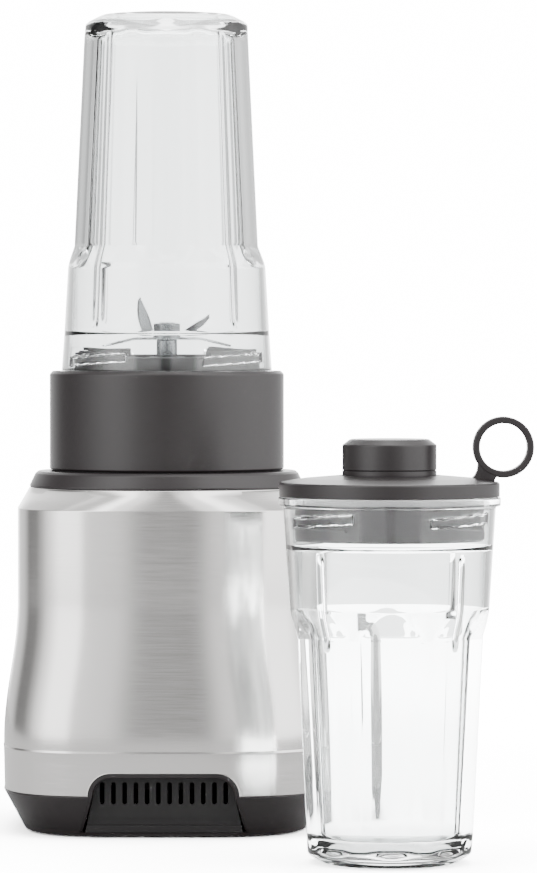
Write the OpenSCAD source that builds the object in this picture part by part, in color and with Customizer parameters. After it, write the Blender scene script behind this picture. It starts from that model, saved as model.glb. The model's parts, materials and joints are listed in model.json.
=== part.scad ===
// Personal blender: a motor base, a twist-on blade holder, a clear blending cup used upside down,
// and a shorter travel cup with a screw lid. +Z is up, the vent faces -Y, and the origin is on the
// motor's axis at the level of the surface that it stands on. Millimetres.

/* [Motor base] */
// Half the width of the base at its foot band
base_half = 77; // [74:1:82]
// Half the width of the straight part of the steel body
waist_half = 70.4; // [68:0.2:72]
// Height of the lower edge of the steel
steel_low = 20; // [18:0.5:22]
// Height of the upper edge of the steel
steel_top = 161; // [158:0.5:164]
// Wall of the pressed steel body
steel_wall = 1.2; // [0.8:0.1:2]
// Height of the top of the plastic ring around the well
surround_top = 168.6; // [167:0.1:170]
// Half the width of the vent arch at the edge of the steel
arch_half = 35; // [30:1:38]
// Height of the crown of the vent arch
arch_top = 30.7; // [28:0.1:33]
// How many upright slots the vent panel has
slot_count = 12; // [8:1:14]

/* [Blade holder] */
// Outer radius of the holder
holder_r = 55.75; // [54:0.25:57]
// Height of the top of the holder
holder_top = 216; // [212:1:220]
// Turn that locks the holder on the base, in degrees
lock_turn = 35; // [25:1:38]

/* [Cups] */
// Height of the blending cup from its rim to its closed end
cup_h = 173; // [165:1:180]
// Height of the travel cup
travel_h = 161.5; // [155:0.5:165]
// Radial scale of the travel cup against the blending cup
travel_k = 0.94; // [0.9:0.01:1]
// Travel cup's place to the right of the base's axis
travel_x = 101.8; // [98:0.1:120]
// Travel cup's place in front of the base's axis
travel_y = -164; // [-180:1:-150]

/* [Motor] */
// Radius of the motor shaft
shaft_r = 4; // [3:0.5:5]
// Outer radius of the stator
stator_r = 42; // [38:1:45]
// Length of the iron core
core_len = 40; // [30:1:44]

/* [Hidden] */
$fn = 96;
fit = 0.05; // radial clearance of a running fit

plastic = "#4a4647";
dark = "#353233";
steel = "#cfcfcf";
clear = [0.93, 0.95, 0.96, 0.35];

foot_half = 67; // half width of the moulding where it meets the feet
plate_half = 63.6; // half width of the removable bottom plate
screw_x = 30; // the bottom screws' places
screw_y = 56.5;
feet_at = 60; // the feet's distance from the axis
post_at = 43; // and that of the motor's posts
foot_z = 1; // height of the moulding's lower edge
ledge_z = 6.1; // ledge inside the moulding
foot_n = 3.5; // squareness of the plan at the foot, where 2 is a circle
waist_n = 3.2; // and at the waist
band_z = 40; // crease above the foot band
waist_z = 108; // where the flare meets the straight waist
shoulder_z = 151.5; // where the shoulder starts
surround_r = 65.2; // radius of the surround's lower edge
mouth_r = 61; // opening in the top of the steel
gland_z = 14; // height of the cord inlet
arch_corner = 10.5; // radius of the arch's upper corners
panel_y = -66; // front face of the vent panel
well_r = 50; // bore of the well
well_floor = 146; // top of the well's floor
slot_r = 52.2; // reach of the bayonet slots
lug_deg = 26; // width of a holder lug
lug_low = 150; // underside of the holder lugs
lug_h = 4.5; // height of a holder lug
pin_r = 1.2; // radius of an interlock pin
pin_at = 50.8; // how far the pins lie from the axis
pin_angle = 90 - lock_turn - lug_deg / 2 + 3.2; // bearing of the first pin
core_low = 66; // underside of the iron core
rotor_r = 23; // rotor's radius
cup_z = 212; // height of the blending cup's rim
thread_pitch = 16; // rise of the cup threads in one turn
cup_lug_deg = 46; // width of a cup lug
cap_r = 20.8; // radius of the screw cap
cap_low = 169.5; // underside of the screw cap
cap_top = 187.2; // top of the screw cap
loop_x = 50.2; // carry loop's centre from the lid's axis
loop_z = 183.6; // height of the carry loop's centre

function ease(t) = (1 - cos(180 * t)) / 2;
function flat(l) = [for (a = l) each a];

// Outline of a bowed square of half width h and squareness n
function bowed_square(h, n, steps = 64) = [for (i = [0:steps - 1])
  let (a = 360 * i / steps, r = h / pow(pow(abs(cos(a)), n) + pow(abs(sin(a)), n), 1 / n))
  [r * cos(a), r * sin(a)]];
function square_ring(z, h, n) = [for (p = bowed_square(h, n)) [p[0], p[1], z]];

// A closed skin through a loop of levels, the last joined to the first
module ring_loop(rings) {
  n = len(rings);
  m = len(rings[0]);
  polyhedron(points = flat(rings), faces = [for (i = [0:n - 1]) for (j = [0:m - 1])
    [i * m + j, ((i + 1) % n) * m + j, ((i + 1) % n) * m + (j + 1) % m, i * m + (j + 1) % m]]);
}

// A ring sector of a rectangle r1..r2 by z1..z2, centred on angle a
module sector(r1, r2, z1, z2, a, span) {
  rotate(a - span / 2)
    rotate_extrude(angle = span)
      translate([r1, z1])
        square([r2 - r1, z2 - z1]);
}

// A plain ring about the axis
module ring(r1, r2, z1, z2) {
  rotate_extrude()
    translate([r1, z1])
      square([r2 - r1, z2 - z1]);
}

module rod(r, z1, z2) {
  translate([0, 0, z1])
    cylinder(r = r, h = z2 - z1);
}

// A helical lug from radius r1 to r2, h tall, centred on angle a and height z
module helix_lug(r1, r2, h, z, a, span, pitch = thread_pitch, steps = 8) {
  pts = [for (i = [0:steps])
    let (t = a + span * (i / steps - 0.5), zc = z + pitch * span * (i / steps - 0.5) / 360)
    each [for (c = [[r1, -1], [r2, -1], [r2, 1], [r1, 1]])
      [c[0] * cos(t), c[0] * sin(t), zc + c[1] * h / 2]]];
  sides = [for (i = [0:steps - 1]) for (j = [0:3])
    [i * 4 + j, i * 4 + (j + 1) % 4, i * 4 + 4 + (j + 1) % 4, i * 4 + 4 + j]];
  polyhedron(points = pts, faces = concat(sides, [[3, 2, 1, 0],
    [for (j = [0:3]) steps * 4 + j]]));
}

// Four quarter-turn copies
module quarters(first = 45) {
  for (i = [0:3])
    rotate(first + 90 * i)
      children();
}

module screw_pos(r, first, count) {
  for (i = [0:count - 1])
    rotate(first + 360 / count * i)
      translate([r, 0, 0])
        children();
}

// ---- motor base -------------------------------------------------------------------------------

function flare_half(z) = z <= band_z + 3 ? base_half : z >= waist_z ? waist_half
  : waist_half + (base_half - waist_half) * (1 - ease((z - band_z - 3) / (waist_z - band_z - 3)));
function flare_n(z) = waist_n + (foot_n - waist_n) * (flare_half(z) - waist_half)
  / (base_half - waist_half);
flare_z = [for (i = [0:9]) band_z + 3 + (waist_z - band_z - 3) * i / 9];

// Outline of the vent arch in the XZ plane, grown by g
module arch_outline(g = 0) {
  r = arch_corner + g;
  cx = arch_half - arch_corner - 0.1;
  cz = arch_top - arch_corner;
  right = concat([[arch_half + 6 + g, -1], [arch_half + g, steel_low]],
    [for (a = [12:13:90]) [cx + r * cos(a), cz + r * sin(a)]]);
  polygon(concat(right, [for (i = [len(right) - 1:-1:0]) [-right[i][0], right[i][1]]]));
}

module arch_prism(g, y1, y2) {
  translate([0, y2, 0])
    rotate([90, 0, 0])
      linear_extrude(y2 - y1)
        arch_outline(g);
}

module steel_body() {
  low_in = base_half - steel_wall;
  lid_z = steel_top - steel_wall;
  color(steel)
    difference() {
      ring_loop(concat(
        [square_ring(steel_low, base_half, foot_n), square_ring(band_z, base_half, foot_n)],
        [for (z = flare_z) square_ring(z, flare_half(z), flare_n(z))],
        [square_ring(shoulder_z, waist_half, waist_n), square_ring(steel_top, surround_r, 2),
         square_ring(steel_top, mouth_r, 2), square_ring(lid_z, mouth_r, 2),
         square_ring(lid_z, surround_r - steel_wall, 2),
         square_ring(shoulder_z - 0.5, waist_half - steel_wall, waist_n)],
        [for (i = [9:-1:0]) square_ring(flare_z[i], flare_half(flare_z[i]) - steel_wall,
          flare_n(flare_z[i]))],
        [square_ring(steel_low, low_in, foot_n)]));
      arch_prism(0.2, -base_half - 5, -30);
    }
}

// Solid of the lower moulding's outside, shrunk by s
module skirt_solid(s, z1, z2) {
  slope = (base_half - foot_half) / (steel_low - foot_z);
  low = square_ring(z1, foot_half - s + slope * (z1 - foot_z), foot_n);
  high = square_ring(z2, foot_half - s + slope * (z2 - foot_z), foot_n);
  n = len(low);
  polyhedron(points = concat(low, high), faces = concat(
    [[for (i = [0:n - 1]) i], [for (i = [n - 1:-1:0]) n + i]],
    [for (i = [0:n - 1]) [i, n + i, n + (i + 1) % n, (i + 1) % n]]));
}

module bottom_moulding() {
  color(plastic)
    difference() {
      union() {
        difference() {
          skirt_solid(0, foot_z, steel_low - 0.1);
          difference() {
            skirt_solid(3, foot_z - 1, steel_low + 1);
            arch_prism(0, -base_half, panel_y + 4.5);
          }
        }
        // tongue that stands up inside the steel
        difference() {
          square_slab(base_half - steel_wall - 0.3, steel_low - 0.2, steel_low + 6);
          square_slab(base_half - steel_wall - 2.8, steel_low - 1, steel_low + 7);
        }
        // ledge that the bottom plate is screwed to
        difference() {
          intersection() {
            skirt_solid(1, foot_z, steel_low);
            translate([-80, -62, ledge_z])
              cube([160, 140, 2]);
          }
          rod(52, 0, 30);
        }
        for (x = [-1, 1], y = [-1, 1])
          translate([screw_x * x, screw_y * y, 0])
            rod(4.4, ledge_z + 0.1, 17);
        // arch that frames the vent
        intersection() {
          arch_prism(0, -base_half, panel_y + 4.5);
          square_slab(base_half - 0.05, steel_low - 0.2, arch_top + 4);
        }
      }
      arch_prism(-2.2, -base_half - 1, panel_y);
      translate([-arch_half - 2, panel_y - 0.1, foot_z + 1.4])
        cube([2 * arch_half + 4, 3, arch_top]);
      translate([-arch_half + 8, panel_y, 9])
        cube([2 * arch_half - 16, 8, 15]);
      translate([0, 60, gland_z])
        rotate([-90, 0, 0])
          cylinder(r = 4.5, h = 25);
      for (x = [-1, 1], y = [-1, 1])
        translate([screw_x * x, screw_y * y, 0])
          rod(1.7 + fit, 0, 16.2);
    }
}

// Straight-sided bowed square between two heights
module square_slab(h, z1, z2) {
  translate([0, 0, z1])
    linear_extrude(z2 - z1)
      polygon(bowed_square(h, foot_n));
}

module vent_panel() {
  pitch = 5.2;
  slot_low = 16.8;
  slot_high = 24.9;
  color(dark)
    difference() {
      intersection() {
        translate([-arch_half - 1.5, panel_y, foot_z + 1.6])
          cube([2 * arch_half + 3, 2.4, arch_top - foot_z - 3.9]);
        arch_prism(-2.3, panel_y - 1, panel_y + 4);
      }
      for (i = [0:slot_count - 1])
        translate([pitch * (i - (slot_count - 1) / 2), panel_y - 1, 0])
          rotate([-90, 0, 0])
            linear_extrude(5)
              for (z = [slot_low, slot_high])
                translate([0, -z])
                  circle(r = 1.1);
      for (i = [0:slot_count - 1])
        translate([pitch * (i - (slot_count - 1) / 2) - 1.1, panel_y - 1, slot_low])
          cube([2.2, 5, slot_high - slot_low]);
      // step above the sill
      translate([-arch_half - 5, panel_y - 1, 6])
        cube([2 * arch_half + 10, 2.2, 3.6]);
    }
}

module base_plate() {
  color(dark)
    difference() {
      intersection() {
        square_slab(plate_half, foot_z, foot_z + 2);
        translate([-80, panel_y + 5, 0])
          cube([160, 160, 10]);
      }
      for (x = [-1, 1], y = [-1, 1])
        translate([screw_x * x, screw_y * y, 0]) {
          rod(1.8, foot_z - 1, foot_z + 4);
          rod(3.5, foot_z - 1, foot_z + 1);
        }
      // air slots under the fan
      for (i = [-3:3])
        translate([i * 8 - 1.5, -20, foot_z - 1])
          cube([3, 40, 5]);
      screw_pos(feet_at, 45, 4)
        translate([0, 0, foot_z - 1])
          cylinder(r = 7.6, h = 5);
    }
}

module rubber_feet() {
  color("#2b2a2b")
    screw_pos(feet_at, 45, 4)
      union() {
        cylinder(r1 = 8.4, r2 = 9, h = foot_z - 0.1);
        rod(7.5, foot_z - 0.2, foot_z + 3);
      }
}

module base_screws() {
  color("silver")
    for (x = [-1, 1], y = [-1, 1])
      translate([screw_x * x, screw_y * y, 0])
        difference() {
          union() {
            rod(1.7, 1.5, 16);
            rod(3.2, 0.5, foot_z + 0.95);
          }
          for (a = [0, 90])
            rotate(a)
              translate([-2, -0.35, 0.3])
                cube([4, 0.7, 1]);
        }
}

module cord_gland() {
  color(dark)
    translate([0, 62.5, gland_z])
      rotate([-90, 0, 0])
        rotate_extrude()
          polygon([[3, 0], [5.7, 0], [5.7, 3], [4.4, 3], [4.4, 13.4], [4, 13.9], [3, 13.9]]);
}

module top_surround() {
  color(plastic)
    rotate_extrude()
      polygon([[surround_r, steel_top + 0.05], [surround_r, steel_top + 1], [62.6, surround_top - 1.2],
        [61.9, surround_top - 0.3], [61.2, surround_top], [54.4, surround_top], [53.9, surround_top - 0.5],
        [53.9, steel_top - 4], [mouth_r - 0.5, steel_top - 4], [mouth_r - 0.5, steel_top + 0.05]]);
}

module jug_well() {
  color(plastic)
    difference() {
      union() {
        ring(well_r, 53.7, well_floor - 3, surround_top - 1.4);
        ring(16, 53.7, well_floor - 3, well_floor);
        ring(16, 18.5, well_floor - 3, well_floor + 4);
        ring(53.5, 60, steel_top - 7.5, steel_top - 4.1);
      }
      for (i = [0:2])
        rotate(120 * i + 90) {
          sector(well_r - 1.5, slot_r + 0.3, lug_low - 1, surround_top, 0, lug_deg + 4);
          sector(well_r - 1, slot_r, lug_low - 0.7, lug_low + lug_h + 0.7,
            -lock_turn / 2 - 0.5, lug_deg + 3 + lock_turn);
        }
      // interlock pins come up beyond the far end of each slot
      for (i = [0:2])
        rotate(120 * i + pin_angle)
          translate([pin_at, 0, well_floor - 4])
            cylinder(r = pin_r + fit, h = 8);
      screw_pos(40, 15, 3)
        rod(1.8, well_floor - 5, well_floor + 1);
      // drain for spills
      translate([0, 34, well_floor - 5])
        cylinder(r = 2.5, h = 7);
    }
}

module well_seal() {
  color("#2b2a2b")
    rotate_extrude()
      polygon([[13.2, well_floor - 2.5], [15.9, well_floor - 2.5], [15.9, well_floor + 3],
        [13.2, well_floor + 3], [12, well_floor + 1.5]]);
}

// ---- motor ------------------------------------------------------------------------------------

module bearing(z, h, r_in, r_out) {
  color("silver")
    difference() {
      ring(r_in, r_out, z, z + h);
      for (s = [z - 0.5, z + h - 0.4])
        ring(r_in + (r_out - r_in) * 0.32, r_out - (r_out - r_in) * 0.32, s, s + 0.9);
    }
}

module lower_bearing() {
  bearing(36, 7, shaft_r + fit, 11);
}

module upper_bearing() {
  bearing(126, 7, shaft_r + fit, 11);
}

module lower_bracket() {
  color("#8d8f92")
    difference() {
      union() {
        ring(11.05, 14.5, 34, 45);
        ring(11.05, 13.5, 43, 45);
        for (a = [0, 90])
          rotate(a)
            translate([-44, -6, 34])
              cube([88, 12, 4]);
        screw_pos(post_at, 0, 4)
          rod(4.5, 34, 64);
      }
      rod(11.05, 30, 43.01);
      rod(9, 33, 50);
    }
}

module upper_bracket() {
  color("#8d8f92")
    difference() {
      union() {
        ring(11.05, 14.5, 124, 135);
        for (a = [0, 90])
          rotate(a)
            translate([-47, -6, 120])
              cube([94, 12, 4.5]);
        screw_pos(post_at, 0, 4)
          rod(4.5, 108, 124);
        rod(14.5, 120, 126);
      }
      rod(11.05, 125.9, 134);
      rod(9, 118, 140);
      screw_pos(post_at, 0, 4)
        rod(2, 107, 125);
    }
}

module motor_mounts() {
  color("#2b2a2b")
    screw_pos(post_at, 0, 4)
      difference() {
        rod(6, 124.6, well_floor - 3.05);
        rod(2, 120, well_floor);
        ring(4.6, 8, 130, 136);
      }
}

module stator_core() {
  color("#77787a")
    difference() {
      ring(rotor_r + 0.6, stator_r, core_low, core_low + core_len);
      for (s = [0, 180])
        rotate(s)
          sector(rotor_r + 4, stator_r - 8, core_low - 1, core_low + core_len + 1, 90, 100);
      for (a = [0, 180])
        rotate(a)
          translate([stator_r - 2, -30, core_low - 1])
            cube([6, 60, core_len + 2]);
      screw_pos(39, 45, 4)
        rod(1.6, core_low - 1, core_low + core_len + 1);
    }
}

module field_coils() {
  color("#b0672c")
    for (s = [0, 180])
      rotate(s) {
        for (a = [-1, 1])
          rotate(90 + a * 40)
            sector(rotor_r + 5.2, stator_r - 9.2, core_low - 5, core_low + core_len + 5, 0, 15);
        for (z = [core_low - 7, core_low + core_len + 0.4])
          sector(rotor_r + 4.6, stator_r - 8.6, z, z + 6.5, 90, 96);
      }
}

module brush_holders() {
  color("#c9a24b")
    for (s = [0, 180])
      rotate(s)
        difference() {
          translate([16.5, -4.5, 48])
            cube([19, 9, 9]);
          translate([15, -3.1, 49.4])
            cube([19, 6.2, 6.2]);
        }
}

module carbon_brushes() {
  color("#2a2a2c")
    for (s = [0, 180])
      rotate(s)
        difference() {
          translate([11, -3, 49.5])
            cube([20, 6, 6]);
          rod(13.15, 40, 60);
        }
}

module motor_shaft() {
  color("silver")
    union() {
      rod(shaft_r, 22, 150.9);
      rod(5.6, 44.5, 46.5);
      rod(5.6, 117, 119);
    }
}

module rotor_core() {
  color("#6f7073")
    difference() {
      ring(shaft_r, rotor_r, core_low, core_low + core_len);
      for (i = [0:11])
        rotate(30 * i)
          translate([rotor_r - 6, -1.3, core_low - 1])
            cube([8, 2.6, core_len + 2]);
    }
}

module rotor_windings() {
  color("#b8732f")
    for (z = [core_low - 6, core_low + core_len])
      rotate_extrude()
        polygon([[shaft_r, z], [17, z], [19.5, z + 1.5], [19.5, z + 4.5], [17, z + 6], [shaft_r, z + 6]]);
}

module commutator() {
  color("#b87333")
    difference() {
      ring(shaft_r, 13, 46.6, 59.5);
      for (i = [0:23])
        rotate(15 * i)
          translate([11.8, -0.3, 46])
            cube([3, 0.6, 13]);
    }
}

module cooling_fan() {
  color("#3b3a3c")
    union() {
      ring(shaft_r, 8, 22.5, 32);
      ring(7, 36, 30, 32);
      for (i = [0:10])
        rotate(360 / 11 * i)
          translate([14, -0.9, 22.5])
            cube([21.5, 1.8, 8]);
    }
}

module fan_shroud() {
  color(dark)
    difference() {
      union() {
        ring(38, 40, 8.2, 33.8);
        ring(38, 55, 8.2, 10.2);
        screw_pos(post_at, 0, 4)
          rod(4.7, 8.2, 33.9);
      }
      screw_pos(post_at, 0, 4)
        rod(1.5, 5, 40);
      for (a = [0:30:330])
        rotate(a + 15)
          translate([36, -4, 13])
            cube([6, 8, 7]);
    }
}

module drive_socket() {
  color("#3a3839")
    difference() {
      union() {
        rod(11.5, 148.5, 160);
        rod(7, 140, 148.6);
      }
      translate([0, 0, 151])
        cylinder(r = 8.2, h = 10, $fn = 6);
      rod(shaft_r, 130, 151.5);
    }
}

module control_board() {
  color("#2f6b46")
    union() {
      translate([-28, 52, 44])
        cube([56, 1.6, 42]);
      for (p = [[-18, 52, 0], [2, 66, 1], [16, 56, 2]])
        translate([p[0], 53.5, p[1]])
          cube([9 + 2 * p[2], 6, 8 + 3 * p[2]]);
      translate([-12, 53.5, 74])
        rotate([-90, 0, 0])
          cylinder(r = 5, h = 8);
    }
}

// Insulated leads from the board down to the cord inlet and up to the brushes
module wire_loom() {
  color("#8a2f2a")
    for (x = [-7, 7])
      translate([x, 0, 0]) {
        translate([0, 55.5, 13])
          cylinder(r = 1.2, h = 38);
        translate([0, 50.6, 58])
          rotate([90, 0, 0])
            cylinder(r = 1.2, h = 6);
      }
}

module safety_switches() {
  color("#232224")
    for (i = [0:2])
      rotate(120 * i + pin_angle)
        difference() {
          translate([well_r - 6, -4, 114])
            cube([11, 8, 14]);
          translate([pin_at, 0, 127])
            cylinder(r = 1.7, h = 4);
        }
}

// ---- interlock --------------------------------------------------------------------------------

module at_pins() {
  for (i = [0:2])
    rotate(120 * i + pin_angle)
      translate([pin_at, 0, 0])
        children();
}

module interlock_pins() {
  top = lug_low + 1.6;
  color("#d9d6d0")
    at_pins()
      union() {
        rod(1.2, 133, 140);
        rod(3, 139.5, 141);
        rod(pin_r, 140.5, top - 0.4);
        translate([0, 0, top - 0.41])
          cylinder(r1 = pin_r, r2 = pin_r - 0.4, h = 0.41);
      }
}

module interlock_springs() {
  color("silver")
    at_pins()
      spring_coil(2.1, 0.25, 128.4, 139.4, 5, 8);
}

module spring_coil(r, wire, z1, z2, turns, steps) {
  n = turns * steps;
  pts = [for (i = [0:n]) let (a = 360 * i / steps, z = z1 + wire + (z2 - z1 - 2 * wire) * i / n)
    each [for (k = [0:3]) [(r + wire * cos(90 * k)) * cos(a), (r + wire * cos(90 * k)) * sin(a),
      z + wire * sin(90 * k)]]];
  sides = [for (i = [0:n - 1]) for (j = [0:3]) let (a = i * 4 + j, b = i * 4 + (j + 1) % 4)
    each [[a, a + 4, b + 4], [a, b + 4, b]]];
  polyhedron(points = pts, faces = concat(sides, [[0, 1, 2], [0, 2, 3],
    [n * 4 + 2, n * 4 + 1, n * 4], [n * 4 + 3, n * 4 + 2, n * 4]]));
}

// ---- blade holder -----------------------------------------------------------------------------

module seat_ring() {
  color("#2b2a2b")
    ring(51, 54.4, surround_top + 0.05, 171);
}

module holder_sleeve() {
  color(plastic)
    difference() {
      union() {
        rotate_extrude()
          polygon([[48.9, 149.5], [48.9, 169], [holder_r - 0.8, 169], [holder_r, 169.8],
            [holder_r, holder_top - 1.5], [holder_r - 0.45, holder_top - 0.45], [holder_r - 1.5, holder_top],
            [54, holder_top], [53.4, holder_top - 0.6], [53.4, 203.9], [51.4, 203.9], [51.4, 201],
            [53, 199], [53, 174], [46.4, 174], [46.4, 149.5]]);
        for (i = [0:2])
          sector(48.5, 51.7, lug_low, lug_low + lug_h, 120 * i + 90, lug_deg);
      }
      ring(50.8, 54.6, 168, 171.2);
    }
}

module blade_base() {
  color(dark)
    difference() {
      union() {
        rotate_extrude()
          polygon([[6.5, 194], [9.2, 194], [9.2, 205], [22, 205.5], [34, 207.2], [41, 209], [41.2, 204],
            [53.3, 204], [53.3, 208], [44, 208.2], [44, 222], [43.5, 222.5], [42.2, 222.5], [41.5, 221.4],
            [40.6, 214.5], [35, 211.5], [22, 209], [9, 208.8], [8.8, 221.3], [8.2, 222], [6.5, 222]]);
        quarters(45) {
          sector(42.6, 43.9, 220, 225.4, 0, 38);
          helix_lug(43.6, 46.7, 1.5, 224.7, 0, 36);
        }
      }
      rod(4.6, 190, 225);
    }
}

module spindle_bearings() {
  color("#c9a24b")
    for (z = [195, 210])
      ring(shaft_r + fit, 6.45, z, z + 7);
}

module spindle_circlip() {
  color("silver")
    difference() {
      ring(shaft_r - 0.6, 6, 193.2, 194);
      translate([2, -1, 192])
        cube([6, 2, 4]);
    }
}

module shaft_seal() {
  color("#2b2a2b")
    rotate_extrude()
      polygon([[shaft_r + 0.3, 217.2], [6.45, 217.2], [6.45, 221.8], [5.2, 221.8], [shaft_r + 0.15, 220]]);
}

module blade_spindle() {
  color("silver")
    difference() {
      rod(shaft_r, 164, 238.4);
      ring(shaft_r - 0.6, shaft_r + 1, 193.1, 194.1);
    }
}

module drive_dog() {
  color(dark)
    difference() {
      union() {
        translate([0, 0, 152])
          cylinder(r = 7.6, h = 9.5, $fn = 6);
        rod(12, 161.2, 164.5);
        rod(7, 164.4, 176);
      }
      rod(shaft_r, 163.9, 180);
    }
}

module spindle_collar() {
  color("#d8d8d8")
    ring(shaft_r, 4.9, 222.4, 230);
}

// One blade arm: a foot, a length along +X, lifted by tilt, w wide at the foot and t at the tip
module arm(foot, length, tilt, w, tip, thick) {
  color("#bdbdbd")
    translate([foot, 0, 0])
      rotate([0, -tilt, 0])
        translate([0, 0, -thick / 2])
          linear_extrude(thick)
            polygon([[-0.8, -w / 2], [length * 0.55, -w / 2], [length, -w / 2 + tip * 0.6],
              [length + 0.6, -w / 2 + tip], [length - 0.8, w / 2 - 1], [length * 0.4, w / 2], [-0.8, w / 2]]);
}

module blade(z, turn, feet, lengths, tilts, widths) {
  color("#bdbdbd")
    difference() {
      translate([0, 0, z])
        rotate(turn)
          union() {
            rod(7.5, -0.6, 0.6);
            for (s = [0, 1])
              rotate(180 * s)
                union() {
                  translate([0, -widths[s] / 2, -0.6])
                    cube([feet[s], widths[s], 1.2]);
                  arm(feet[s], lengths[s], tilts[s], widths[s] - 0.3, 3, 1.2);
                }
          }
      rod(shaft_r, z - 5, z + 5);
    }
}

module lower_blade() {
  blade(230.7, 8, [16, 16], [15, 15], [-14, -14], [9, 9]);
}

module upper_blade() {
  blade(233.3, -40, [11, 11], [18, 17.5], [28, 68], [9, 9]);
}

module blade_washer() {
  color("silver")
    ring(shaft_r, 6.5, 231.35, 232.65);
}

module blade_nut() {
  color("silver")
    difference() {
      translate([0, 0, 233.95])
        cylinder(r = 6.3, h = 4, $fn = 6);
      rod(shaft_r, 233, 240);
    }
}

// ---- cups -------------------------------------------------------------------------------------

// A clear cup with its rim at height 0 and its closed end at height h. The flats run out s1 to s2
// from the rim, k scales it in radius, f is its floor and ribs_to is where its ribs end. The wall is
// round inside and has eight flats outside.
module clear_cup(h, s1, s2, k, f, ribs_to) {
  ledge = 21.5;
  difference() {
    union() {
      rotate_extrude()
        polygon([[47.5 * k, 0], [52 * k, 0], [52.3 * k, 0.5], [52.3 * k, 3.6], [50 * k, 4.2],
          [48.8 * k, ledge], [47 * k, s1], [47 * k, s2], [41.9 * k, h - 12], [40.9 * k, h - 7.5],
          [38.6 * k, h - 4], [35 * k, h - 1.4], [30.5 * k, h], [22 * k, h], [20.5 * k, h - 1], [0, h - 1],
          [0, h - f], [29 * k, h - f], [33.5 * k, h - f - 1.6], [36 * k, h - f - 6],
          [41.2 * k, s2 + 1], [44.4 * k, s1], [45.4 * k, ledge + 0.8], [46.6 * k, ledge - 0.4]]);
      quarters(45)
        helix_lug(45.2 * k, 47.6 * k, 4, 9.5, 0, cup_lug_deg);
      // ribs that stir the load
      quarters(45)
        intersection() {
          ring(10, 47 * k, ledge + 3, ribs_to);
          cup_rib(h, s1, s2, k);
        }
    }
    for (i = [0:7])
      rotate(45 * i)
        translate([0, 30, 0])
          rotate([90, 0, 0])
            linear_extrude(60)
              polygon([[38.55 * k, h + 2], [38.6 * k, h - 8], [43.4 * k, s2], [47.6 * k, s1],
                [60, s1], [60, h + 2]]);
  }
}

module cup_rib(h, s1, s2, k) {
  translate([0, 1.3, 0])
    rotate([90, 0, 0])
      linear_extrude(2.6)
        polygon([[43.8 * k, 26], [45.6 * k, 26], [45 * k, s1], [41.8 * k, s2 + 1], [36.6 * k, h - 10],
          [34.5 * k, h - 10], [39 * k, s2 + 1], [42.4 * k, s1]]);
}

module blending_cup() {
  color(clear)
    translate([0, 0, cup_z])
      clear_cup(cup_h, 52.5, 63, 1, 4.6, cup_h - 4.6);
}

module cup_seal() {
  color("#8d8b8b")
    ring(46.6, 52, 208.3, cup_z - 0.05);
}

module travel_cup() {
  color(clear)
    translate([travel_x, travel_y, travel_h])
      rotate([180, 0, 0])
        clear_cup(travel_h, 48.5, 60.5, travel_k, 7, 66);
}

// ---- travel lid -------------------------------------------------------------------------------

module at_travel() {
  translate([travel_x, travel_y, 0])
    children();
}

module lid_seal() {
  color("#8d8b8b")
    at_travel()
      ring(44.6, 47.5, travel_h + 0.05, travel_h + 1.6);
}

module loop_outline() {
  wall = 3;
  difference() {
    union() {
      translate([loop_x, loop_z])
        circle(r = 13.5);
      polygon([[36, 168.5], [36, 171], [38, 173.2], [39.5, 176], [loop_x - 13.5, 180], [loop_x - 13.5, loop_z],
        [loop_x - 2, loop_z - 10], [47.6, 170], [47.6, 166]]);
    }
    translate([loop_x, loop_z])
      circle(r = 13.5 - wall);
  }
}

module travel_lid() {
  color(plastic)
    at_travel()
      difference() {
        union() {
          rotate_extrude()
            polygon([[48.7, travel_h + 0.3], [48.7, 167.4], [48.1, 168.2], [38, 169.9], [22.6, 171.2],
              [21.9, 171], [21.9, 169.2], [17, 169.2], [17, 181], [14.6, 181], [14.6, 166.2],
              [39.4, 166], [39.4, 143.2],
              [40, 142.6], [41.2, 142.6], [41.8, 143.4], [41.8, 163.4], [47.9, 163.4],
              [47.9, travel_h + 0.3]]);
          quarters(45)
            rotate([180, 0, 0])
              helix_lug(41.4, 43.9, 1.5, -148.9, 0, 36);
          translate([0, 4.5, 0])
            rotate([90, 0, 0])
              linear_extrude(9)
                loop_outline();
        }
        rod(14.6, 140, 190);
      }
}

module cap_seal() {
  color("#8d8b8b")
    at_travel()
      ring(12.5, 16.8, 181.05, 183.4);
}

module screw_cap() {
  color(plastic)
    at_travel()
      rotate_extrude()
        polygon([[17.4, cap_low], [cap_r - 1.2, cap_low], [cap_r, cap_low + 1.2], [cap_r, cap_low + 3.6],
          [cap_r - 0.5, cap_low + 3.9], [cap_r, cap_low + 4.2],
          [cap_r, cap_top - 2.6], [cap_r - 3.2, cap_top - 0.2],
          [cap_r - 4, cap_top], [0, cap_top + 0.3], [0, 183.5], [17.4, 183.5]]);
}

steel_body();
top_surround();
jug_well();
well_seal();
bottom_moulding();
vent_panel();
base_plate();
rubber_feet();
base_screws();
cord_gland();
fan_shroud();
lower_bracket();
upper_bracket();
motor_mounts();
stator_core();
field_coils();
brush_holders();
carbon_brushes();
upper_bearing();
lower_bearing();
control_board();
wire_loom();
safety_switches();
motor_shaft();
rotor_core();
rotor_windings();
commutator();
cooling_fan();
drive_socket();
interlock_pins();
interlock_springs();
seat_ring();
holder_sleeve();
blade_base();
spindle_bearings();
spindle_circlip();
shaft_seal();
blade_spindle();
spindle_collar();
lower_blade();
upper_blade();
blade_washer();
blade_nut();
drive_dog();
cup_seal();
blending_cup();
travel_cup();
lid_seal();
travel_lid();
cap_seal();
screw_cap();
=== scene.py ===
import json
import math
import bmesh
import bpy
import numpy as np
from mathutils import Matrix, Vector


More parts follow.
